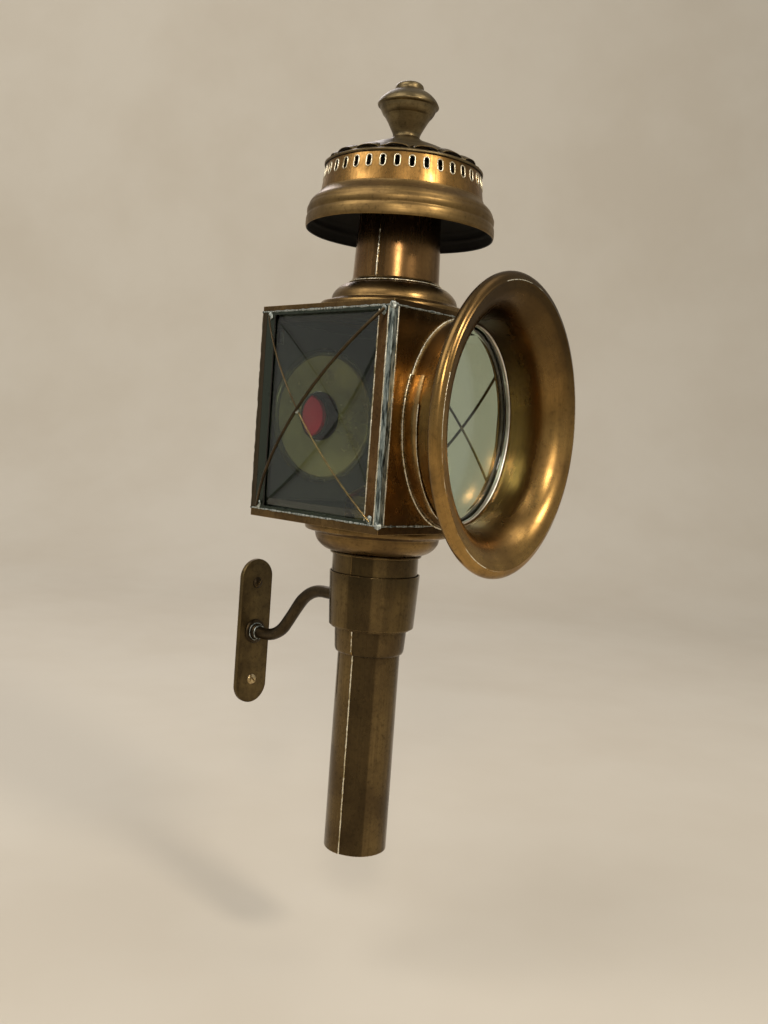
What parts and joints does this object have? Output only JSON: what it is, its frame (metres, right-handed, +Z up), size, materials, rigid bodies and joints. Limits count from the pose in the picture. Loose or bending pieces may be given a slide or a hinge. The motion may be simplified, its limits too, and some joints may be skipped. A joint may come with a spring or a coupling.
{
  "type": "carriage lamp",
  "caption": "Brass carriage lamp on a wall bracket, with a glazed square lantern, an oval trumpet bell, a vented chimney cap and a spring-fed candle tube.",
  "frame": {"origin": "middle of the wall plate's back, on the wall's face", "axes": "+Z up, +Y into the wall, -Y out through the bell, +X to the right seen from the wall-facing side of a viewer in front of the bell"},
  "size_m": [0.1496, 0.2204, 0.4799],
  "materials": {
    "brass": "satin",
    "aged_brass": "aged",
    "dark_brass": "dark patina",
    "solder": "dull",
    "silvered": "worn polish",
    "steel": "dull",
    "glass": "clear, slightly green",
    "red_glass": "deep red",
    "wax": "waxy",
    "wick": "charred"
  },
  "bodies": {
    "bracket": {"wall_plate": "aged_brass", "rod_washer": "dark_brass", "bracket_rod": "dark_brass", "bracket_sleeve": "brass"},
    "lantern": {"socket": "aged_brass", "bottom_dome": "brass", "bottom_plate": "aged_brass", "top_plate": "aged_brass", "corner_posts": "solder", "front_plate": "brass", "bell": "brass", "neck_band": "aged_brass", "glass_seat": "dark_brass", "front_glass": "glass", "front_bezel": "silvered", "left_frame": "brass", "left_glass": "glass", "left_guard": "dark_brass", "right_frame": "brass", "right_glass": "glass", "right_guard": "dark_brass", "door_frame": "aged_brass", "body_hinges": "brass", "hinge_pins": "aged_brass", "chimney_foot": "brass", "chimney_neck": "brass", "cap_stays": "dark_brass", "cap_skirt": "brass", "gallery": "brass", "roof": "aged_brass", "smoke_baffle": "steel", "baffle_spacer": "aged_brass", "baffle_nut": "aged_brass", "finial": "aged_brass"},
    "back_door": {"door_panel": "brass", "reflector": "silvered", "lens_tube": "dark_brass", "red_lens": "red_glass", "lens_bezel": "brass", "door_knob": "brass", "door_clip": "steel", "door_hinges": "brass"},
    "candle_tube": {"candle_tube": "brass", "tube_collar": "brass", "tube_end": "aged_brass", "tube_pins": "aged_brass"},
    "nozzle": {"nozzle": "brass", "nozzle_cone": "brass"},
    "candle": {"candle": "wax", "wick": "wick", "candle_follower": "aged_brass", "candle_spring": "steel"}
  },
  "joints": [
    {"name": "lamp_turn", "type": "hinge", "parent": "bracket", "child": "lantern", "pos_m": [0, -0.12, 0.0592], "axis": [0, 0, 1], "range_deg": [-100, 100]},
    {"name": "door_swing", "type": "hinge", "parent": "lantern", "child": "back_door", "pos_m": [0.053, -0.0606, 0.155], "axis": [0, 0, -1], "range_deg": [0, 110]},
    {"name": "tube_slide", "type": "slide", "parent": "lantern", "child": "candle_tube", "axis": [0, 0, -1], "range_m": [0, 0.085]},
    {"name": "nozzle_twist", "type": "hinge", "parent": "candle_tube", "child": "nozzle", "pos_m": [0, -0.12, 0.101], "axis": [0, 0, 1], "range_deg": [0, 30]},
    {"name": "candle_feed", "type": "slide", "parent": "candle_tube", "child": "candle", "axis": [0, 0, 1], "range_m": [-0.05, 0], "stiffness_N_per_m": 100, "springref_m": 0.06, "deforming": ["candle_spring"]}
  ]
}
